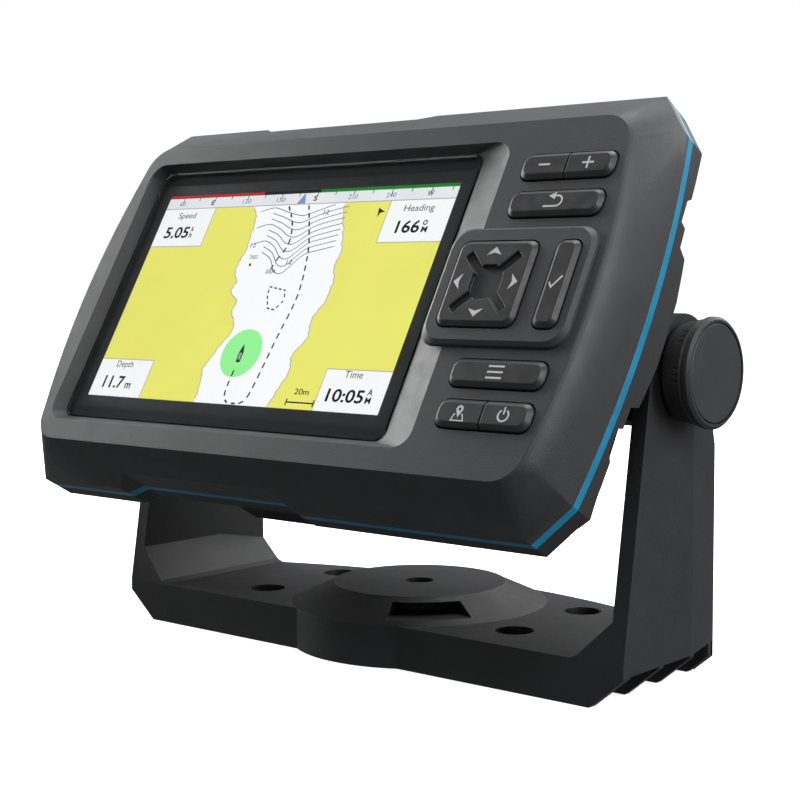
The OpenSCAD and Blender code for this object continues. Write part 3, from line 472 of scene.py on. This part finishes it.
def curved(points, steps=6):
    """A smooth line through the points."""
    out = []
    n = len(points)
    for i in range(n - 1):
        p = [Vector(points[max(0, min(n - 1, i + k))]) for k in (-1, 0, 1, 2)]
        for j in range(steps):
            t = j / steps
            q = 0.5 * ((2 * p[1]) + (p[2] - p[0]) * t + (2 * p[0] - 5 * p[1] + 4 * p[2] - p[3]) * t ** 2
                       + (3 * p[1] - p[0] - 3 * p[2] + p[3]) * t ** 3)
            out.append((q.x, q.y))
    return out + [tuple(points[-1])]


def dashes(points, width, dash=1.7, gap=1.2):
    """The line through the points as separate short bars."""
    out, here, on, left = [], Vector(points[0]), True, dash
    for target in [Vector(p) for p in points[1:]]:
        while (target - here).length > 1e-6:
            step = min(left, (target - here).length)
            ahead = here + (target - here).normalized() * step
            if on and step > 0.25:
                out.append(stroke([tuple(here), tuple(ahead)], width))
            here = ahead
            left -= step
            if left < 1e-6:
                on = not on
                left = dash if on else gap
    return out


def ragged(points, rough):
    """A shore: the line with small notches made by fixed sines."""
    out = []
    for i, (x, y) in enumerate(curved(points, 5)):
        out.append((x + rough * (math.sin(2.7 * i + 0.4) + 0.6 * math.sin(5.1 * i)), y))
    return out


# ------------------------------------------------------------------ the picture on the screen

# All places on the picture are in millimetres from its centre.
SCREEN = (108.0, 64.8)
HALF_W, HALF_H = SCREEN[0] / 2, SCREEN[1] / 2
TAPE_FOOT = HALF_H - 4.6
BAND_FOOT = HALF_H - 1.0
TAPE_FIRST = -47.8
TAPE_PITCH = 13.3
BOXES = [(-HALF_W, 15.4, -32.9, TAPE_FOOT), (32.8, 15.4, HALF_W, TAPE_FOOT),
         (-HALF_W, -HALF_H, -32.4, -20.9), (32.4, -HALF_H, HALF_W, -20.8)]
NOTCH, SHORE_LINE, CONTOUR_LINE, TRACK_LINE = 0.22, 0.3, 0.22, 0.52
RULE = 0.13  # half the width of the grey rules and the ticks
INK = (0.004, 0.004, 0.005)
BOLD = 0.028
THIN = 0.01
DIGIT, UNIT, SMALL_UNIT, CAPTION = 3.6, 1.7, 1.6, 1.9
GLOW = 1.12


def layer(name, colour, level, outlines=(), texts=(), spread=0.02):
    """One flat colour of the picture. Each level lies Z_STEP above the one before."""
    low, high = span("lcd_panel")
    centre = ((low.x + high.x) / 2, (low.y + high.y) / 2)
    height = high.z + PANEL_GAP + level * Z_STEP
    draw(name, "head", glowing(name, colour, GLOW, spread), centre, height,
         Z_STEP * LAYER_SHARE, outlines, texts)


def shore_lines():
    """The left and the right shore, from the tape down."""
    left = ragged([(-17.6, TAPE_FOOT), (-15.2, 24.5), (-14.4, 20.4), (-13.8, 13.6), (-14.7, 10),
                   (-14.3, 6), (-12.6, 4.2), (-13.1, 0.6), (-9.6, -1.9), (-9.6, -5.6), (-6.6, -10.2),
                   (-9.4, -16.4), (-12.0, -22.6), (-11.0, -25.8), (-10.4, -HALF_H)], NOTCH)
    right = ragged([(16.6, TAPE_FOOT), (18.2, 22.2), (19.6, 19.8), (21.9, 12.6), (21.4, 8.8),
                    (23.0, 4.6), (23.0, -1.4), (20.6, -7.4), (21.6, -12), (18.6, -17.8), (19.7, -21.6),
                    (18.0, -28), (16.4, -HALF_H)], NOTCH)
    return left, right


def land_and_water():
    lands = []
    for side, shore in zip((-1, 1), shore_lines()):
        edge = side * HALF_W
        lands.append([(edge, TAPE_FOOT), (shore[0][0], TAPE_FOOT)] + shore[1:-1]
                     + [(shore[-1][0], -HALF_H), (edge, -HALF_H)])
    layer("screen_water", (1.0, 1.0, 1.0), 0, [rect(-HALF_W, -HALF_H, HALF_W, HALF_H)])
    layer("screen_land", (0.87, 0.84, 0.16), 1, lands, spread=0.05)
    layer("screen_disc", (0.31, 0.93, 0.31), 2, [circle(0, -17.5, 7.1)])


def boxes_and_bands():
    layer("screen_boxes", (0.97, 0.97, 0.97), 2, [rect(*b) for b in BOXES])
    layer("screen_tape", (0.86, 0.87, 0.88), 2, [rect(-HALF_W, TAPE_FOOT, HALF_W, BAND_FOOT)], spread=0.12)
    layer("screen_red", (0.45, 0.022, 0.027), 3, [rect(-HALF_W, BAND_FOOT, -15.4, HALF_H)])
    layer("screen_dark", (0.006, 0.006, 0.006), 3, [rect(-15.4, BAND_FOOT, 6.2, HALF_H)])
    layer("screen_green", (0.006, 0.2, 0.018), 3, [rect(6.2, BAND_FOOT, HALF_W, HALF_H)])


def grey_rules():
    """Outlines of the shores, the tape and the boxes."""
    lines = [rect(-HALF_W, TAPE_FOOT, HALF_W, TAPE_FOOT + 0.28)]
    lines += [stroke(shore[1:-1], SHORE_LINE) for shore in shore_lines()]
    for x0, y0, x1, y1 in BOXES:
        inner = x1 if x0 < 0 else x0
        edge = y0 if y0 > 0 else y1
        lines += [rect(inner - RULE, y0, inner + RULE, y1)]
        lines += [rect(x0, edge - RULE, x1, edge + RULE)]
    layer("screen_grey", (0.42, 0.42, 0.40), 3, lines)


def depth_contours():
    lines = []
    for i in range(9):
        y = 25.6 - 1.75 * i
        dip = 0.9 + 0.45 * i
        line = [(-14.0 + 0.3 * i, y + 0.4), (-9 + 0.2 * i, y + 1.5), (-4 + 0.1 * i, y + 0.2 - 0.1 * i),
                (0.2, y - dip), (3.6, y - dip - 0.3), (8.5, y + 0.3), (13.5, y + 1.8), (18.6, y + 2.9)]
        line = [(px, min(py, TAPE_FOOT - 0.3)) for px, py in line]
        smooth = curved(line[1 if i % 3 else 0:], 5)
        below = [p for p in smooth if p[1] < TAPE_FOOT - 0.35]
        lines.append(stroke(below or smooth, CONTOUR_LINE))
    layer("screen_contours", (0.05, 0.05, 0.05), 2, lines)


def ink_lines():
    """Dashed tracks, the scale bar, the cursor, a spot and the tape's ticks."""
    loop = [(0.9, 2.4), (7.4, 1.3), (8.0, -1.8), (6.0, -4.5), (3.2, -4.1), (1.4, -0.3), (0.9, 2.4)]
    track = [(-0.1, -22.6), (-0.2, -29.0), (1.6, -31.7), (4.0, -32.0), (7.0, -31.6), (8.9, -28.4),
             (10.8, -13.0), (12.4, -0.2), (10.3, 12.1), (7.2, 19.9), (3.6, TAPE_FOOT - 0.3)]
    side_track = [(-3.8, TAPE_FOOT - 0.4), (0.1, 21.7), (1.6, 15.3), (-0.8, 9.8), (-1.4, 6.2)]
    lines = dashes(curved(track), TRACK_LINE) + dashes(curved(side_track), TRACK_LINE)
    lines += dashes(loop, 0.42, 1.1, 0.8)
    lines += [rect(22.7, -30.75, 32.0, -30.35), rect(22.5, -31.5, 22.9, -29.6),
              rect(31.8, -31.5, 32.2, -29.6)]
    lines += [[(29.4, 25.9), (31.9, 24.6), (30.4, 24.3), (29.9, 22.9)]]
    lines += [circle(-9.9, 9.2, 0.45, 16)]
    for i in range(16):
        x = TAPE_FIRST + i * TAPE_PITCH / 2
        if -HALF_W + 0.5 < x < HALF_W - 0.5:
            tick = 2.0 if i % 2 else 2.4
            lines.append(rect(x - RULE, HALF_H - tick, x + RULE, BAND_FOOT))
    return lines


def ink_words():
    """Words with their height, left and right ends, baseline and boldness."""
    numbers = [("5.05", DIGIT, -50.2, -40.2, 18.3, BOLD), ("166", DIGIT, 37.7, 45.5, 18.2, BOLD),
               ("11.7", DIGIT, -49.6, -41.2, -29.7, BOLD), ("10:05", 3.5, 35.4, 47.6, -29.6, BOLD)]
    units = [("k", SMALL_UNIT, -39.5, -38.5, 20.4, BOLD), ("h", SMALL_UNIT, -39.5, -38.5, 18.3, BOLD),
             ("M", UNIT, 46.3, 48.2, 18.2, BOLD), ("m", SMALL_UNIT, -40.2, -37.9, -29.7, BOLD),
             ("A", UNIT, 48.4, 50.0, -27.4, BOLD), ("M", UNIT, 48.4, 50.2, -29.6, BOLD),
             ("20m", SMALL_UNIT, 24.3, 29.3, -28.3, THIN)]
    chart = [("12", 1.4, 3.6, 5.6, 9.2), ("12", 1.4, -12.6, -10.6, 14.6), ("12", 1.4, 10.2, 12.2, 24.4),
             ("0004", 1.3, -2.9, 0.6, 6.4), ("TREES", 1.1, -11.4, -8.0, 11.0)]
    captions = [("Speed", CAPTION, -47.2, -40.0, 24.7), ("Heading", CAPTION, 38.2, 48.2, 24.5),
                ("Depth", CAPTION, -47.0, -40.2, -23.3), ("Time", CAPTION, 39.0, 45.0, -23.0)]
    compass = [("S", SMALL_UNIT, 4.4, 5.8, 28.9, BOLD), ("E", SMALL_UNIT, -35.6, -34.3, 28.9, BOLD),
               ("W", SMALL_UNIT, 44.1, 46.2, 28.9, BOLD)]
    return numbers + units + chart + captions + compass


def bearings():
    """The numbers on the tape, centred on their ticks."""
    half_digit = 0.55
    words = []
    for i, label in enumerate(("60", "", "120", "150", "", "210", "240")):
        if label:
            x = TAPE_FIRST + i * TAPE_PITCH
            reach = half_digit * len(label)
            words.append((label, 1.4, x - reach, x + reach, 28.95, THIN))
    return words


def screen_picture():
    land_and_water()
    boxes_and_bands()
    grey_rules()
    depth_contours()
    layer("screen_ink", INK, 4, ink_lines(), ink_words())
    degree = [circle(46.9, 21.0, 0.75, 20), circle(46.9, 21.0, 0.42, 20)]
    layer("screen_degree", INK, 4, [degree])
    layer("screen_blue", (0.09, 0.25, 0.42), 4, [], bearings())
    pointer = [(-1.3, TAPE_FOOT + 0.3), (1.9, TAPE_FOOT + 0.3), (0.7, HALF_H - 0.9)]
    layer("screen_pointer", (0.17, 0.33, 0.55), 4, [pointer])
    boat = [(-0.75, -20.2), (0.75, -20.2), (0.8, -17.2), (0.35, -15.6), (0, -14.9), (-0.35, -15.6),
            (-0.8, -17.2)]
    layer("screen_boat", (0.02, 0.022, 0.03), 3, [boat])
    deck = [(-0.4, -19.4), (0.4, -19.4), (0.45, -17.4), (-0.45, -17.4)]
    layer("screen_deck", (0.35, 0.36, 0.38), 4, [deck])


def glass_mask():
    """The black border printed behind the glass, round the picture."""
    panel_low, panel_high = span("lcd_panel")
    low, high = span("front_glass")
    centre = ((panel_low.x + panel_high.x) / 2, (panel_low.y + panel_high.y) / 2)
    margin = 0.9
    outer = rect((low.x - centre[0]) / MM + margin, (low.y - centre[1]) / MM + margin,
                 (high.x - centre[0]) / MM - margin, (high.y - centre[1]) / MM - margin)
    inner = rect(-HALF_W, -HALF_H, HALF_W, HALF_H)
    mask = satin("mask_black", (0.004, 0.004, 0.0045), 0.5)
    below_glass, depth = 0.019 * MM, 0.014 * MM
    draw("glass_mask", "head", mask, centre, low.z - below_glass, depth,
         [[outer, inner]])


# ------------------------------------------------------------------ symbols on the keys


def moved(points, x, y, turn):
    c, s = math.cos(math.radians(turn)), math.sin(math.radians(turn))
    return [(x + px * c - py * s, y + px * s + py * c) for px, py in points]


def plus(half, t):
    """A cross with arms half long and bars 2t wide."""
    return [(-t, -t), (-t, -half), (t, -half), (t, -t), (half, -t), (half, t), (t, t), (t, half),
            (-t, half), (-t, t), (-half, t), (-half, -t)]


def key_symbols():
    """Symbols printed on the keys, in millimetres from the middle of each key's top."""
    bar = 0.24
    line = 0.46
    arrows_from = 8.1
    arrowhead = [(0, 1.15), (2.1, -1.0), (0, -0.4), (-2.1, -1.0)]
    pin = arc(0, 0.75, 0.95, -38, 218, 20) + [(0, -1.35)]
    dock = [(-0.85, -0.55), (-1.15, -0.55), (-1.75, -2.1), (1.75, -2.1), (1.15, -0.55), (0.85, -0.55)]
    hook = [(-2.5, -1.35), (1.0, -1.35)] + arc(1.0, 0.05, 1.4, -75, 90, 12) + [(0.2, 1.45)]
    symbols = {
        "zoom_out_key": [rect(-1.6, -bar, 1.6, bar)],
        "zoom_in_key": [plus(1.6, bar)],
        "back_key": [stroke(hook, line), [(0.25, 0.45), (0.25, 2.45), (-1.6, 1.45)]],
        "menu_key": [rect(-2.2, y - bar, 2.2, y + bar) for y in (-1.45, 0, 1.45)],
        "waypoint_key": [[pin, circle(0, 0.75, 0.42, 20)], stroke(dock, 0.3)],
        "power_key": [stroke(arc(0, -0.15, 1.4, 122, 418, 32), 0.42), rect(-0.2, 0.15, 0.2, 1.95)],
        "enter_key": [stroke([(-1.5, -0.1), (-0.6, -1.4), (1.6, 1.5)], line)],
        "direction_pad": [moved(arrowhead, arrows_from * math.cos(a), arrows_from * math.sin(a),
                                math.degrees(a) - 90)
                          for a in (0, math.pi / 2, math.pi, 3 * math.pi / 2)],
    }
    ink = satin("symbol_grey", (0.56, 0.56, 0.56), 0.45)
    sunk, depth = 0.01 * MM, 0.045 * MM
    for node, outlines in symbols.items():
        low, high = span(node, near_top=0.02 * MM)
        centre = ((low.x + high.x) / 2, (low.y + high.y) / 2)
        draw(node + "_symbol", BODIES[node], ink, centre, high.z - sunk, depth, outlines)


# ------------------------------------------------------------------ stage, light, camera


def floor():
    """White ground whose glow is dimmer near the object, a painted shade round it, and grows brighter away
    from it until it fades into the backdrop.
    """
    size = 4.0
    near, far = 0.22, 0.6
    obj = new_mesh_object("floor", [(-size, -size, 0), (size, -size, 0), (size, size, 0), (-size, size, 0)],
                          [(0, 1, 2, 3)])
    s = Shader("floor_white", (0.9, 0.9, 0.9), 0.9)
    s.surface.inputs["Emission Color"].default_value = (1, 1, 1, 1)
    away = s.add("ShaderNodeVectorMath", {0: s.place}, operation="LENGTH").outputs["Value"]
    # Painted shade: the floor's glow is weaker close to the object, from near to far metres.
    s.set("Emission Strength", s.ranged(away, near, far, 0.8, 1.05))
    s.set("Roughness", s.ranged(s.noise(40 * MM), 0.3, 0.7, 0.85, 0.95))
    obj.data.materials.append(s.material)
    obj.visible_glossy = False
    obj.visible_diffuse = False


def world():
    """The camera sees white behind the object, and the object is lit by a dim sky."""
    w = bpy.data.worlds.new("studio")
    bpy.context.scene.world = w
    w.use_nodes = True
    tree = w.node_tree
    out = tree.nodes["World Output"]
    white = tree.nodes["Background"]
    white.inputs["Color"].default_value = (1, 1, 1, 1)
    white.inputs["Strength"].default_value = 1.02
    dim = tree.nodes.new("ShaderNodeBackground")
    dim.inputs["Color"].default_value = (0.96, 0.98, 1, 1)
    dim.inputs["Strength"].default_value = 0.16
    path = tree.nodes.new("ShaderNodeLightPath")
    mix = tree.nodes.new("ShaderNodeMixShader")
    tree.links.new(path.outputs["Is Camera Ray"], mix.inputs["Fac"])
    tree.links.new(dim.outputs["Background"], mix.inputs[1])
    tree.links.new(white.outputs["Background"], mix.inputs[2])
    tree.links.new(mix.outputs["Shader"], out.inputs["Surface"])


LIGHT_AIM = Vector((0, -0.02, 0.08))


def softbox(name, direction, distance, width, height, power):
    light = bpy.data.lights.new(name, "AREA")
    light.shape = "RECTANGLE"
    light.size = width
    light.size_y = height
    light.energy = power
    obj = bpy.data.objects.new(name, light)
    bpy.context.scene.collection.objects.link(obj)
    way = Vector(direction).normalized()
    obj.location = LIGHT_AIM + way * distance
    obj.rotation_euler = way.to_track_quat("Z", "Y").to_euler()
    obj.visible_camera = False


def lights():
    softbox("left", (-0.94, 0.03, 0.34), 1.0, 0.6, 0.6, 10)
    softbox("right", (0.93, 0.1, 0.34), 1.0, 0.35, 0.8, 6.5)
    softbox("right_front", (0.52, -0.54, 0.66), 1.0, 0.3, 0.3, 3.5)
    softbox("top", (-0.15, 0.25, 1.0), 1.1, 0.9, 0.6, 10)
    softbox("back", (0.2, 0.9, 0.5), 1.1, 0.9, 0.4, 4)


def camera():
    """Stands where the photographer stood: place in metres and unit axes, both in the shared frame."""
    data = bpy.data.cameras.new("camera")
    data.sensor_width = 36
    data.lens = 73.2
    data.clip_start = 0.01
    data.clip_end = 20
    obj = bpy.data.objects.new("camera", data)
    bpy.context.scene.collection.objects.link(obj)
    right = Vector((0.76048, 0.64935, -0.00453))
    up = Vector((-0.04783, 0.06296, 0.99687))
    forward = Vector((-0.6476, 0.75788, -0.07894))
    turn = Matrix((right, up, -forward)).transposed().to_4x4()
    obj.matrix_world = Matrix.Translation(Vector((0.294961, -0.353439, 0.105147))) @ turn
    bpy.context.scene.camera = obj


finish_cad_nodes()
for node, width in EDGE_WIDTHS.items():
    refine(node, width * MM)
screen_picture()
glass_mask()
key_symbols()
floor()
world()
lights()
camera()
bpy.context.scene.view_settings.view_transform = "Standard"
